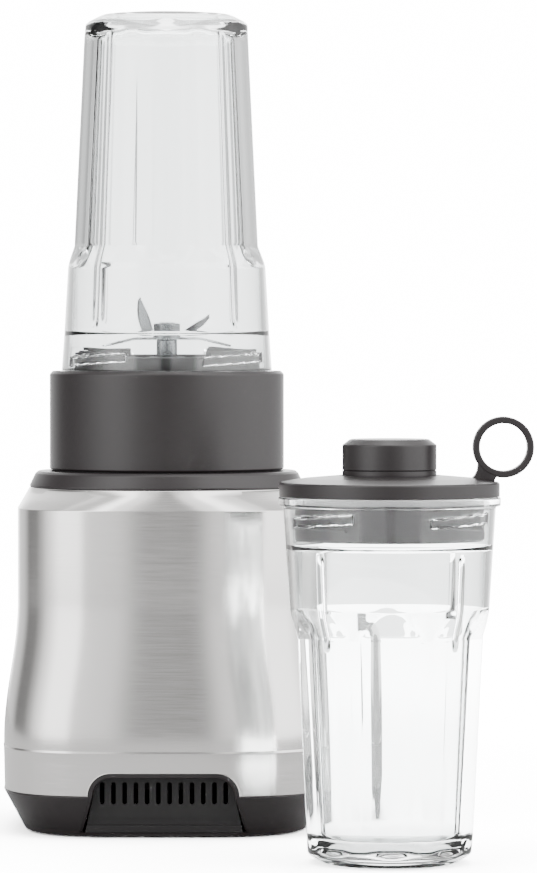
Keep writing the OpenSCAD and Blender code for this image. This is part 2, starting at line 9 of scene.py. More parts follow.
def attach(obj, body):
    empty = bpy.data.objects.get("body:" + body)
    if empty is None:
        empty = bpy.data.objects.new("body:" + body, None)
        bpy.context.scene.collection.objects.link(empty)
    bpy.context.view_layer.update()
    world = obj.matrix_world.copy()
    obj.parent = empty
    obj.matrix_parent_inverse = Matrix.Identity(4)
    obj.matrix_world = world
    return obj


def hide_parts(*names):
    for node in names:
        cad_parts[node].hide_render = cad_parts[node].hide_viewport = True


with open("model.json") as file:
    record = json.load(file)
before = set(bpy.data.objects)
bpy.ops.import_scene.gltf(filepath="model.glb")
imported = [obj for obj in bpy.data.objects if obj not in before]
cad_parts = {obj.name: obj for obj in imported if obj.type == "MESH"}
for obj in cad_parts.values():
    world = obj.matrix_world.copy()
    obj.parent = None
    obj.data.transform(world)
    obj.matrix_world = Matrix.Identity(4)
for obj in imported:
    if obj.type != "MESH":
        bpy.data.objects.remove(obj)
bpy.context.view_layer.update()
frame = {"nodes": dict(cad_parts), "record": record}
print("frame loaded")

mm = 0.001


# ---- camera, floor and light ----

camera = {
    "place": (0.0484, -2.238, 0.2335),  # metres
    "tilt": 1.25,                        # degrees below level
    "lens": 193.8,
    "sensor": 36,
}

studio = {
    "floor": "#9c9c9c",
    "gain": 4.2,            # how far the paper floor is over-exposed
    "glow": 5.6,            # light on the floor's far part
    "near": 0.35,           # metres from the axis where that light starts
    "far": 0.85,            # and where it is full
    "paper": 1.5,           # radius of the floor in metres
    "background": 16,       # brightness of the white room where the camera sees it directly
    # brightness of the room round the blender: degrees from the camera's side, and level
    "room": ((-180, 6), (-167, 6), (-160, 1.6), (-140, 1.2), (-126, 0.3), (-105, 0.35), (-92, 0.9),
             (-74, 2.6), (-60, 4.6), (-37, 4.6), (-31, 1.9), (-8, 1.6), (-3, 0.42), (3, 0.42),
             (8, 1.6), (31, 1.9), (37, 4.6), (90, 4.2), (120, 2), (140, 1.2), (160, 1.6), (167, 6),
             (180, 6)),
    # name: place, aim, width, height, watts, and whether only the floor takes its light
    "lights": {
        "top": ((0, -0.1, 1.9), (0, 0, 0), 2.2, 1.8, 12, False),
        "floor": ((0.05, -0.05, 1.1), (0.05, -0.05, 0), 1.1, 0.9, 15, True),
    },
}


# sRGB hex to the linear colour that shaders take
def linear(hexColour):
    parts = [int(hexColour[i:i + 2], 16) / 255 for i in (1, 3, 5)]
    return tuple(c / 12.92 if c <= 0.04045 else ((c + 0.055) / 1.055) ** 2.4 for c in parts) + (1,)


# settings name attributes or sockets, and links join a socket to another node's output
def addNode(tree, kind, settings=None, links=None):
    node = tree.nodes.new(kind)
    for name, value in (settings or {}).items():
        if isinstance(name, str) and hasattr(node, name):
            setattr(node, name, value)
        else:
            node.inputs[name].default_value = value
    for name, source in (links or {}).items():
        tree.links.new(source, node.inputs[name])
    return node


def makeCamera():
    data = bpy.data.cameras.new("camera")
    data.lens = camera["lens"]
    data.sensor_width = camera["sensor"]
    obj = bpy.data.objects.new("camera", data)
    bpy.context.scene.collection.objects.link(obj)
    obj.location = camera["place"]
    obj.rotation_euler = (math.radians(90 - camera["tilt"]), 0, 0)
    bpy.context.scene.camera = obj


def makeWorld():
    world = bpy.data.worlds.new("studio")
    bpy.context.scene.world = world
    world.use_nodes = True
    tree = world.node_tree
    tree.nodes.clear()
    way = addNode(tree, "ShaderNodeTexCoord")
    parts = addNode(tree, "ShaderNodeSeparateXYZ", links={0: way.outputs["Generated"]})
    behind = addNode(tree, "ShaderNodeMath", {"operation": "MULTIPLY", 1: -1}, {0: parts.outputs["Y"]})
    angle = addNode(tree, "ShaderNodeMath", {"operation": "ARCTAN2"},
                    {0: parts.outputs["X"], 1: behind.outputs[0]})
    turn = addNode(tree, "ShaderNodeMapRange", {
        "From Min": -math.pi, "From Max": math.pi, "To Min": 0, "To Max": 1}, {0: angle.outputs[0]})
    ramp = addNode(tree, "ShaderNodeValToRGB", links={0: turn.outputs[0]})
    most = max(level for degrees, level in studio["room"])
    stops = ramp.color_ramp.elements
    while len(stops) < len(studio["room"]):
        stops.new(0.5)
    for stop, (degrees, level) in zip(stops, studio["room"]):
        stop.position = (degrees + 180) / 360
        stop.color = (level / most,) * 3 + (1,)
    room = addNode(tree, "ShaderNodeBackground", {"Strength": most}, {"Color": ramp.outputs[0]})
    white = addNode(tree, "ShaderNodeBackground", {"Color": (1, 1, 1, 1),
                                                   "Strength": studio["background"]})
    path = addNode(tree, "ShaderNodeLightPath")
    seen = addNode(tree, "ShaderNodeMixShader", links={
        0: path.outputs["Is Camera Ray"], 1: room.outputs[0], 2: white.outputs[0]})
    addNode(tree, "ShaderNodeOutputWorld", links={"Surface": seen.outputs[0]})


def makeLights(backdrop):
    for name, (place, aim, width, height, watts, backdropOnly) in studio["lights"].items():
        data = bpy.data.lights.new(name, "AREA")
        data.shape = "RECTANGLE"
        data.size = width
        data.size_y = height
        data.energy = watts
        obj = bpy.data.objects.new(name, data)
        bpy.context.scene.collection.objects.link(obj)
        obj.location = place
        away = (obj.location - Vector(aim)).normalized()
        obj.rotation_euler = away.to_track_quat("Z", "Y").to_euler()
        if backdropOnly:
            takers = bpy.data.collections.new("lit by " + name)
            takers.objects.link(backdrop)
            obj.light_linking.receiver_collection = takers


# ---- materials ----

def emptyMaterial(name):
    mat = bpy.data.materials.new(name)
    mat.use_nodes = True
    mat.node_tree.nodes.clear()
    return mat, mat.node_tree


def newMaterial(name, settings):
    mat, tree = emptyMaterial(name)
    shader = addNode(tree, "ShaderNodeBsdfPrincipled", settings)
    addNode(tree, "ShaderNodeOutputMaterial", links={"Surface": shader.outputs[0]})
    return mat, tree, shader


# Noise in real size: one grain is about "grain" millimetres, and stretch lengthens it along an axis
def grainNoise(tree, grain, stretch=(1, 1, 1), detail=3):
    coords = addNode(tree, "ShaderNodeTexCoord")
    size = [1 / (grain * s * mm) for s in stretch]
    mapped = addNode(tree, "ShaderNodeMapping", {"Scale": size}, {"Vector": coords.outputs["Object"]})
    return addNode(tree, "ShaderNodeTexNoise", {"Scale": 1, "Detail": detail},
                   {"Vector": mapped.outputs[0]})


def addBump(tree, shader, height, depth):
    bump = addNode(tree, "ShaderNodeBump", {"Strength": 1, "Distance": depth * mm},
                   {"Height": height})
    tree.links.new(bump.outputs[0], shader.inputs["Normal"])


def varyRoughness(tree, shader, noise, middle, spread):
    rough = addNode(tree, "ShaderNodeMapRange", {
        "From Min": 0.3, "From Max": 0.7, "To Min": middle - spread, "To Max": middle + spread,
    }, {"Value": noise.outputs[0]})
    tree.links.new(rough.outputs[0], shader.inputs["Roughness"])


def varyColour(tree, shader, noise, first, second):
    mix = addNode(tree, "ShaderNodeMix", {"data_type": "RGBA", 6: linear(first), 7: linear(second)},
                  {0: noise.outputs[0]})
    tree.links.new(mix.outputs[2], shader.inputs["Base Color"])


# Injection moulded plastic: the spark-eroded mould leaves a fine grain that softens its highlight
def moulded(name, first, second, roughness, grain=0.35, depth=0.006):
    mat, tree, shader = newMaterial(name, {"Roughness": roughness, "Specular IOR Level": 0.4})
    noise = grainNoise(tree, grain)
    varyColour(tree, shader, grainNoise(tree, 40, detail=2), first, second)
    varyRoughness(tree, shader, noise, roughness, 0.04)
    addBump(tree, shader, noise.outputs[0], depth)
    return mat


# Metal with a lay: the lines that brushing, drawing or turning leaves
def layMetal(name, first, second, roughness, grain, stretch, depth):
    mat, tree, shader = newMaterial(name, {"Metallic": 1, "Roughness": roughness})
    noise = grainNoise(tree, grain, stretch)
    varyColour(tree, shader, noise, first, second)
    varyRoughness(tree, shader, noise, roughness, 0.05)
    addBump(tree, shader, noise.outputs[0], depth)
    return mat


# Clear copolyester: polished, slightly cool, with a faint unevenness from blow moulding
def clearMoulding(name):
    mat, tree, shader = newMaterial(name, {
        "Base Color": linear("#e6e8e8"), "Roughness": 0.015, "IOR": 1.5, "Transmission Weight": 1,
    })
    addBump(tree, shader, grainNoise(tree, 18, detail=0).outputs[0], 0.02)
    return mat


materials = {
    "brushed_steel_shell": layMetal(
        "brushedSteel", "#d2d0ce", "#d8d6d4", 0.17, 0.1, (200, 200, 1), 0.0012),
    "ground_stainless": layMetal("groundStainless", "#8f9193", "#a6a8aa", 0.24, 0.2, (1, 20, 1), 0.002),
    "die_cast_alloy": layMetal("dieCastAlloy", "#97999c", "#a5a7aa", 0.48, 0.8, (1, 1, 1), 0.02),
    "laminated_iron": layMetal("laminatedIron", "#6c6c6f", "#8a8b8e", 0.5, 0.5, (60, 60, 1), 0.03),
    "enamelled_copper": layMetal("enamelledCopper", "#9a4d20", "#c0713a", 0.3, 0.6, (1, 1, 30), 0.04),
    "sintered_bronze": layMetal("sinteredBronze", "#a8803f", "#bf954e", 0.42, 0.25, (1, 1, 1), 0.01),
    "dark_grey_plastic": moulded("darkGreyPlastic", "#1d191a", "#211d1e", 0.36),
    "charcoal_plastic": moulded("charcoalPlastic", "#131112", "#171516", 0.46),
    "black_rubber": moulded("blackRubber", "#1c1b1c", "#232223", 0.7, 0.6, 0.015),
    "grey_silicone": moulded("greySilicone", "#8f8f8f", "#9a9a9a", 0.5, 1.2, 0.01),
    "brush_carbon": moulded("brushCarbon", "#1b1b1d", "#29292b", 0.6, 0.5, 0.02),
    "circuit_board": moulded("circuitBoard", "#1f5a38", "#286a45", 0.35, 1.5, 0.01),
    "wire_insulation": moulded("wireInsulation", "#7c2622", "#8a2e28", 0.45, 0.8, 0.01),
    "white_acetal": moulded("whiteAcetal", "#d8d5cd", "#e2dfd8", 0.4, 0.8, 0.01),
    "clear_copolyester": clearMoulding("clearCopolyester"),
}
slotOf = {s["node"]: s["material_slot"] for s in frame["record"]["subparts"]}
for nodeName, obj in frame["nodes"].items():
    for place in obj.material_slots:
        place.material = materials[slotOf[nodeName]]
print("materials ready")


# ---- mesh helpers ----

# Corners of a section in millimetres are replaced by arcs. A third value gives a corner its own radius
def rounded(points, radius, steps=4, closed=True):
    pts = [np.array(p[:2], float) for p in points]
    out = []
    n = len(pts)
    for i, point in enumerate(points):
        here = pts[i]
        if not closed and i in (0, n - 1) or abs(here[0]) < 1e-9:
            out.append(tuple(here))
            continue
        back = pts[i - 1] - here
        ahead = pts[(i + 1) % n] - here
        lengths = np.linalg.norm(back), np.linalg.norm(ahead)
        back /= lengths[0]
        ahead /= lengths[1]
        wanted = point[2] if len(point) > 2 else radius
        turn = math.pi - math.acos(np.clip(back @ ahead, -1, 1))
        if turn < 0.03 or wanted <= 0:
            out.append(tuple(here))
            continue
        reach = min(wanted * math.tan(turn / 2), 0.42 * min(lengths))
        real = reach / math.tan(turn / 2)
        centre = here + (back + ahead) / np.linalg.norm(back + ahead) * real / math.cos(turn / 2)
        first = here + back * reach - centre
        side = 1 if back[0] * ahead[1] - back[1] * ahead[0] < 0 else -1
        guard = min(0.25, 0.12 * min(lengths))
        out.append(tuple(here + back * (reach + guard)))
        for k in range(steps + 1):
            a = side * turn * k / steps
            c, s = math.cos(a), math.sin(a)
            out.append(tuple(centre + (first[0] * c - first[1] * s, first[0] * s + first[1] * c)))
        out.append(tuple(here + ahead * (reach + guard)))
    return out


# Adds points so that no step of a section is longer than step(r, z)
def finer(points, step, closed=True):
    out = []
    n = len(points)
    for i in range(n if closed else n - 1):
        a = np.array(points[i])
        b = np.array(points[(i + 1) % n])
        middle = (a + b) / 2
        count = max(1, math.ceil(np.linalg.norm(b - a) / step(middle[0], middle[1])))
        out += [tuple(a + (b - a) * k / count) for k in range(count)]
    if not closed:
        out.append(tuple(points[-1]))
    return out


# Joins doubled points, turns the faces outward and shades smooth up to the sharp angle
def cleanMesh(mesh, sharp):
    work = bmesh.new()
    work.from_mesh(mesh)
    bmesh.ops.remove_doubles(work, verts=work.verts, dist=1e-7)
    bmesh.ops.recalc_face_normals(work, faces=work.faces)
    work.to_mesh(mesh)
    work.free()
    mesh.shade_smooth()
    mesh.set_sharp_from_angle(angle=math.radians(sharp))


def showMesh(name, mesh, sharp=34):
    cleanMesh(mesh, sharp)
    obj = bpy.data.objects.new(name, mesh)
    bpy.context.scene.collection.objects.link(obj)
    return obj


# A skin over rings of points in millimetres, where a ring of one point is a pole. The marks, one for
# each ring, are kept in an attribute named outside
def skin(name, rings, closed=True, sharp=34, marks=None):
    verts = []
    rows = []
    for ring in rings:
        rows.append(range(len(verts), len(verts) + len(ring)))
        verts += [tuple(c * mm for c in p) for p in ring]
    faces = []
    pairs = list(zip(rows, rows[1:])) + ([(rows[-1], rows[0])] if closed else [])
    for low, high in pairs:
        n = max(len(low), len(high))
        for j in range(n):
            k = (j + 1) % n
            if len(low) == 1 and len(high) > 1:
                faces.append((low[0], high[k], high[j]))
            elif len(high) == 1 and len(low) > 1:
                faces.append((low[j], low[k], high[0]))
            elif len(low) > 1:
                faces.append((low[j], low[k], high[k], high[j]))
    mesh = bpy.data.meshes.new(name)
    mesh.from_pydata(verts, [], faces)
    if marks:
        values = [float(mark) for mark, ring in zip(marks, rings) for p in ring]
        mesh.attributes.new("outside", "FLOAT", "POINT").data.foreach_set("value", values)
    return showMesh(name, mesh, sharp)


# A skin over an open run of rings whose two ends are closed with a point in the middle
def endedSkin(name, rings, sharp=34):
    first, last = [tuple(np.mean(ring, axis=0)) for ring in (rings[0], rings[-1])]
    return skin(name, [[first]] + rings + [[last]], closed=False, sharp=sharp)


# A section of (radius, height) turned about an upright axis
def lathe(name, section, around=160, at=(0, 0), sharp=34):
    turns = [2 * math.pi * j / around for j in range(around)]
    rings = []
    for r, z in section:
        if r < 1e-6:
            rings.append([(at[0], at[1], z)])
        else:
            rings.append([(at[0] + r * math.cos(a), at[1] + r * math.sin(a), z) for a in turns])
    solid = section[0][0] < 1e-6 and section[-1][0] < 1e-6
    return skin(name, rings, not solid, sharp)


# An outline of (a, b) pushed from one depth to the other and given round edges
def plate(name, outline, depths, place, edge=0.0, segments=3):
    verts = [tuple(c * mm for c in place(a, b, d)) for d in depths for a, b in outline]
    n = len(outline)
    faces = [tuple(range(n)), tuple(range(2 * n - 1, n - 1, -1))]
    faces += [(i, (i + 1) % n, n + (i + 1) % n, n + i) for i in range(n)]
    mesh = bpy.data.meshes.new(name)
    mesh.from_pydata(verts, [], faces)
    obj = showMesh(name, mesh)
    if edge:
        bevel = obj.modifiers.new("edge", "BEVEL")
        bevel.width = edge * mm
        bevel.segments = segments
        bevel.limit_method = "ANGLE"
        bevel.angle_limit = math.radians(40)
        settle(obj)
    return obj


# Turns modifiers into plain mesh
def settle(obj, sharp=34):
    graph = bpy.context.evaluated_depsgraph_get()
    mesh = bpy.data.meshes.new_from_object(obj.evaluated_get(graph), depsgraph=graph)
    obj.modifiers.clear()
    obj.data = mesh
    cleanMesh(mesh, sharp)
    return obj


def combine(obj, tool, kind="DIFFERENCE", sharp=34):
    change = obj.modifiers.new("combine", "BOOLEAN")
    change.operation = kind
    change.solver = "EXACT"
    change.object = tool
    settle(obj, sharp)
    bpy.data.objects.remove(tool)
    return obj


# Puts closed shells that overlap into one piece
def gather(obj, others, sharp=34):
    work = bmesh.new()
    for one in [obj] + others:
        work.from_mesh(one.data)
    work.to_mesh(obj.data)
    work.free()
    for one in others:
        bpy.data.objects.remove(one)
    obj.data.shade_smooth()
    obj.data.set_sharp_from_angle(angle=math.radians(sharp))
    return obj


def giveMaterial(obj, slotName):
    obj.data.materials.clear()
    obj.data.materials.append(materials[slotName])


# Paints a finished piece and hands it to the frame
def piece(obj, slotName, body, *nodes):
    giveMaterial(obj, slotName)
    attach(obj, body)
    if nodes:
        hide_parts(*nodes)
    return obj


# ---- Geometry Nodes helpers ----

def newTree(name, sockets):
    tree = bpy.data.node_groups.new(name, "GeometryNodeTree")
    tree.interface.new_socket("Geometry", in_out="INPUT", socket_type="NodeSocketGeometry")
    for label, kind in sockets.items():
        tree.interface.new_socket(label, in_out="INPUT", socket_type="NodeSocket" + kind)
    tree.interface.new_socket("Geometry", in_out="OUTPUT", socket_type="NodeSocketGeometry")
    start = addNode(tree, "NodeGroupInput")
    return tree, start.outputs


# Every tree ends in the same way: real geometry with the input material on it
def endTree(tree, geometry, material):
    real = addNode(tree, "GeometryNodeRealizeInstances", links={0: geometry})
    paint = addNode(tree, "GeometryNodeSetMaterial", links={"Geometry": real.outputs[0],
                                                            "Material": material})
    addNode(tree, "NodeGroupOutput", links={0: paint.outputs[0]})


def runTree(obj, tree, values, sharp=34):
    modifier = obj.modifiers.new(tree.name, "NODES")
    modifier.node_group = tree
    for item in tree.interface.items_tree:
        if item.in_out == "INPUT" and item.name in values:
            modifier[item.identifier] = values[item.name]
    return settle(obj, sharp)


def maths(tree, operation, *values):
    links = {i: v for i, v in enumerate(values) if isinstance(v, bpy.types.NodeSocket)}
    fixed = {i: v for i, v in enumerate(values) if i not in links}
    return addNode(tree, "ShaderNodeMath", {"operation": operation, **fixed}, links).outputs[0]


# Copies of a shape on a ring round the axis, or on the corners of a rectangle
def copiesTree():
    tree, inp = newTree("copies", {
        "Shape": "Object", "Count": "Int", "Radius": "Float", "First Angle": "Float",
        "Width": "Float", "Depth": "Float", "Material": "Material",
    })
    shape = addNode(tree, "GeometryNodeObjectInfo", links={"Object": inp["Shape"]})
    line = addNode(tree, "GeometryNodeMeshLine", links={"Count": inp["Count"]})
    index = addNode(tree, "GeometryNodeInputIndex")
    step = maths(tree, "DIVIDE", 2 * math.pi, inp["Count"])
    angle = maths(tree, "ADD", maths(tree, "MULTIPLY", index.outputs[0], step), inp["First Angle"])
    x = maths(tree, "MULTIPLY", maths(tree, "COSINE", angle), inp["Radius"])
    y = maths(tree, "MULTIPLY", maths(tree, "SINE", angle), inp["Radius"])
    place = addNode(tree, "ShaderNodeCombineXYZ", links={0: x, 1: y})
    ringed = addNode(tree, "GeometryNodeSetPosition", links={"Geometry": line.outputs[0],
                                                             "Position": place.outputs[0]})
    grid = addNode(tree, "GeometryNodeMeshGrid", {"Vertices X": 2, "Vertices Y": 2},
                   {"Size X": inp["Width"], "Size Y": inp["Depth"]})
    onGrid = addNode(tree, "FunctionNodeCompare", {"data_type": "FLOAT", "operation": "GREATER_THAN"},
                     {0: inp["Width"]})
    points = addNode(tree, "GeometryNodeSwitch", {"input_type": "GEOMETRY"},
                     {"Switch": onGrid.outputs[0], "False": ringed.outputs[0], "True": grid.outputs[0]})
    spin = addNode(tree, "GeometryNodeSwitch", {"input_type": "FLOAT"},
                   {"Switch": onGrid.outputs[0], "False": angle})
    turn = addNode(tree, "ShaderNodeCombineXYZ", links={2: spin.outputs[0]})
    copies = addNode(tree, "GeometryNodeInstanceOnPoints", links={
        "Points": points.outputs[0], "Instance": shape.outputs["Geometry"],
        "Rotation": turn.outputs[0],
    })
    endTree(tree, copies.outputs[0], inp["Material"])
    return tree


# A row of upright round-ended slots cut through a plate
def slotsTree():
    tree, inp = newTree("slots", {
        "Count": "Int", "Pitch": "Float", "Slot Width": "Float", "Slot Height": "Float",
        "Depth": "Float", "Centre": "Vector", "Material": "Material",
    })
    shape = addNode(tree, "GeometryNodeCurvePrimitiveQuadrilateral",
                    links={"Width": inp["Slot Width"], "Height": inp["Slot Height"]})
    bend = maths(tree, "MULTIPLY", inp["Slot Width"], 0.499)
    smooth = addNode(tree, "GeometryNodeFilletCurve", {"mode": "POLY", "Count": 8},
                     {"Curve": shape.outputs[0], "Radius": bend})
    face = addNode(tree, "GeometryNodeFillCurve", {"mode": "NGONS"}, {"Curve": smooth.outputs[0]})
    deep = addNode(tree, "GeometryNodeExtrudeMesh", {"mode": "FACES"},
                   {"Mesh": face.outputs[0], "Offset Scale": inp["Depth"]})
    flip = addNode(tree, "GeometryNodeFlipFaces", links={0: face.outputs[0]})
    both = addNode(tree, "GeometryNodeJoinGeometry", links={0: deep.outputs[0]})
    tree.links.new(flip.outputs[0], both.inputs[0])
    whole = addNode(tree, "GeometryNodeMergeByDistance", {"Distance": 1e-6}, {0: both.outputs[0]})
    stand = addNode(tree, "GeometryNodeTransform", {"Rotation": (math.pi / 2, 0, 0)},
                    {"Geometry": whole.outputs[0]})
    reach = addNode(tree, "ShaderNodeCombineXYZ", links={0: inp["Pitch"]})
    less = maths(tree, "SUBTRACT", inp["Count"], 1)
    back = maths(tree, "MULTIPLY", maths(tree, "MULTIPLY", less, inp["Pitch"]), -0.5)
    shift = addNode(tree, "ShaderNodeCombineXYZ", links={0: back})
    first = addNode(tree, "ShaderNodeVectorMath", {"operation": "ADD"},
                    {0: inp["Centre"], 1: shift.outputs[0]})
    row = addNode(tree, "GeometryNodeMeshLine", links={
        "Count": inp["Count"], "Start Location": first.outputs[0], "Offset": reach.outputs[0]})
    cutters = addNode(tree, "GeometryNodeInstanceOnPoints",
                      links={"Points": row.outputs[0], "Instance": stand.outputs[0]})
    real = addNode(tree, "GeometryNodeRealizeInstances", links={0: cutters.outputs[0]})
    cut = addNode(tree, "GeometryNodeMeshBoolean", {"operation": "DIFFERENCE", "solver": "EXACT"},
                  {"Mesh 1": inp["Geometry"], "Mesh 2": real.outputs[0]})
    endTree(tree, cut.outputs[0], inp["Material"])
    return tree


# Presses flat panels into the outside of a cup: each point outside the panel's plane moves onto it
def flatsTree():
    tree, inp = newTree("flats", {
        "Panels": "Int", "Run Out": "Float", "Shoulder": "Float", "End": "Float",
        "Run Out Reach": "Float", "Shoulder Reach": "Float", "End Reach": "Float",
        "Softness": "Float", "Material": "Material",
    })
    where = addNode(tree, "GeometryNodeInputPosition")
    axes = addNode(tree, "ShaderNodeSeparateXYZ", links={0: where.outputs[0]})
    x, y, z = axes.outputs
    angle = maths(tree, "ARCTAN2", y, x)
    step = maths(tree, "DIVIDE", 2 * math.pi, inp["Panels"])
    nearest = maths(tree, "MULTIPLY", maths(tree, "ROUND", maths(tree, "DIVIDE", angle, step)), step)
    off = maths(tree, "SUBTRACT", angle, nearest)
    runOut = addNode(tree, "ShaderNodeMapRange", links={
        "Value": z, "From Min": inp["Run Out"], "From Max": inp["Shoulder"],
        "To Min": inp["Run Out Reach"], "To Max": inp["Shoulder Reach"]})
    lean = addNode(tree, "ShaderNodeMapRange", {"To Min": 0}, {
        "Value": z, "From Min": inp["Shoulder"], "From Max": inp["End"],
        "To Max": maths(tree, "SUBTRACT", inp["End Reach"], inp["Shoulder Reach"])})
    reach = maths(tree, "ADD", runOut.outputs[0], lean.outputs[0])
    limit = maths(tree, "DIVIDE", reach, maths(tree, "COSINE", off))
    radius = maths(tree, "SQRT", maths(tree, "ADD", maths(tree, "MULTIPLY", x, x),
                                       maths(tree, "MULTIPLY", y, y)))
    soft = maths(tree, "SMOOTH_MIN", radius, limit, inp["Softness"])
    share = maths(tree, "DIVIDE", soft, maths(tree, "MAXIMUM", radius, 1e-6))
    place = addNode(tree, "ShaderNodeCombineXYZ", links={
        0: maths(tree, "MULTIPLY", x, share), 1: maths(tree, "MULTIPLY", y, share), 2: z})
    outside = addNode(tree, "GeometryNodeInputNamedAttribute", {"data_type": "FLOAT", "Name": "outside"})
    above = maths(tree, "GREATER_THAN", z, inp["Run Out"])
    chosen = maths(tree, "MULTIPLY", outside.outputs["Attribute"], above)
    pick = addNode(tree, "FunctionNodeCompare", {"data_type": "FLOAT", "operation": "GREATER_THAN", 1: 0.5},
                   {0: chosen})
    moved = addNode(tree, "GeometryNodeSetPosition", links={
        "Geometry": inp["Geometry"], "Selection": pick.outputs[0], "Position": place.outputs[0]})
    endTree(tree, moved.outputs[0], inp["Material"])
    return tree


copies = copiesTree()
slots = slotsTree()
flats = flatsTree()


# Runs the copies tree on a hidden shape and leaves only the copies
def repeat(name, shape, slotName, count=4, radius=0.0, first=0.0, width=0.0, depth=0.0):
    host = bpy.data.objects.new(name, bpy.data.meshes.new(name))
    bpy.context.scene.collection.objects.link(host)
    runTree(host, copies, {
        "Shape": shape, "Count": count, "Radius": radius * mm, "First Angle": math.radians(first),
        "Width": width * mm, "Depth": depth * mm, "Material": materials[slotName],
    })
    bpy.data.objects.remove(shape)
    return host


# ---- motor base ----

steelBody = {
    "low": 20.0, "crease": 40.0, "flareStart": 43.0, "flareEnd": 108.0, "shoulder": 151.5,
    "top": 161.0, "footHalf": 77.0, "waistHalf": 70.4, "topRadius": 65.2, "mouth": 61.0,
    "wall": 1.2, "footSquareness": 3.5, "waistSquareness": 3.2,
    "columns": 256,
}

# splay is how far each leg of the arch leans out on its way down
arch = {"half": 35.0, "top": 30.7, "corner": 10.5, "splay": 6, "frame": 2.2, "panel": -66.0}

skirt = {"low": 1.0, "high": 19.9, "lowHalf": 67.0, "wall": 3.0, "cordRadius": 4.5, "cordHeight": 14}


def squarePoint(half, squareness, angle):
    c, s = math.cos(angle), math.sin(angle)
    r = half / (abs(c) ** squareness + abs(s) ** squareness) ** (1 / squareness)
    return r * c, r * s


def squareRing(half, z, squareness):
    n = steelBody["columns"]
    return [squarePoint(half, squareness, 2 * math.pi * j / n) + (z,) for j in range(n)]


def flareShare(z):
    t = (z - steelBody["flareStart"]) / (steelBody["flareEnd"] - steelBody["flareStart"])
    return (1 + math.cos(math.pi * min(max(t, 0), 1))) / 2


def squareness(z):
    b = steelBody
    if z <= b["shoulder"]:
        return b["waistSquareness"] + (b["footSquareness"] - b["waistSquareness"]) * flareShare(z)
    t = min(1, (z - b["shoulder"]) / (b["top"] - b["wall"] - b["shoulder"]))
    return b["waistSquareness"] + (2 - b["waistSquareness"]) * t


# Half width of the base's outside at a height
def outsideHalf(z):
    b = steelBody
    if z < b["low"]:
        up = z - skirt["low"]
        return skirt["lowHalf"] + (b["footHalf"] - skirt["lowHalf"]) * up / (b["low"] - skirt["low"])
    return b["waistHalf"] + (b["footHalf"] - b["waistHalf"]) * flareShare(z)


# Distance in front of the axis of the base's outside
def frontReach(x, z):
    n = squareness(max(z, steelBody["low"]))
    return (outsideHalf(z) ** n - abs(x) ** n) ** (1 / n)


def archLine(grow, bottom=-1.0, steps=10):
    r = arch["corner"] + grow
    cx, cz = arch["half"] - arch["corner"] - 0.1, arch["top"] - arch["corner"]
    lean = arch["splay"] / (steelBody["low"] + 1)
    foot = arch["half"] + grow + lean * (steelBody["low"] - bottom)
    right = [(foot, bottom), (arch["half"] + grow, steelBody["low"])]
    for k in range(steps + 1):
        a = math.radians(12 + 78 * k / steps)
        right.append((cx + r * math.cos(a), cz + r * math.sin(a)))
    return right + [(-x, z) for x, z in reversed(right)]


def frontPlace(a, b, d):
    return a, d, b


def levelPlace(a, b, d):
    return a, b, d


def makeSteelBody():
    b = steelBody
    wall = b["wall"]
    flare = [b["flareStart"] + (b["flareEnd"] - b["flareStart"]) * k / 22 for k in range(23)]
    outer = [(b["footHalf"] - 0.55, b["low"], 0.4), (b["footHalf"] - 0.12, b["crease"] - 0.9, 0),
             (b["footHalf"], b["crease"], 0.3), (b["footHalf"] - 0.2, b["crease"] + 0.9, 0.4)]
    outer += [(outsideHalf(z) - 0.2 * flareShare(z) - 0.001, z, 0) for z in flare]
    outer += [(b["waistHalf"], z, 0) for z in (120, 132, 144)]
    outer += [(b["waistHalf"], b["shoulder"], 0.9), (b["topRadius"], b["top"], 0.9),
              (b["mouth"], b["top"], 0.4), (b["mouth"], b["top"] - wall, 0),
              (b["topRadius"] - wall, b["top"] - wall, 0), (b["waistHalf"] - wall, b["shoulder"] - 0.5, 0)]
    inner = [(outsideHalf(z) - 0.2 * flareShare(z) - wall, z, 0) for z in flare[::-2]]
    inner += [(b["footHalf"] - 0.55 - wall, b["low"], 0.3)]
    section = rounded(outer + inner, 0.5, 5)
    section = finer(section, lambda r, z: 2.5 if z > b["shoulder"] - 4 else 5)
    obj = skin("steelBody", [squareRing(h, z, squareness(z)) for h, z in section])
    tool = plate("archTool", archLine(0.2), (-95, -30), frontPlace)
    combine(obj, tool, sharp=28)
    return piece(obj, "brushed_steel_shell", "base", "steel_body")


# The steel's edge is rolled round the arch
def makeArchBead():
    outline = archLine(0.25, steelBody["low"] + 0.1, 16)
    outline = finer(outline[1:-1], lambda a, b: 3, closed=False)
    rings = []
    for i, (x, z) in enumerate(outline):
        ax, az = outline[max(i - 1, 0)]
        bx, bz = outline[min(i + 1, len(outline) - 1)]
        length = math.hypot(bx - ax, bz - az)
        side = ((bz - az) / length, -(bx - ax) / length)
        y = -frontReach(x, z) + 0.62
        ring = []
        for k in range(10):
            a = 2 * math.pi * k / 10
            out = 0.3 * math.cos(a)
            ring.append((x + side[0] * out, y + 0.6 * math.sin(a), z + side[1] * out))
        rings.append(ring)
    return piece(endedSkin("archBead", rings), "brushed_steel_shell", "base")


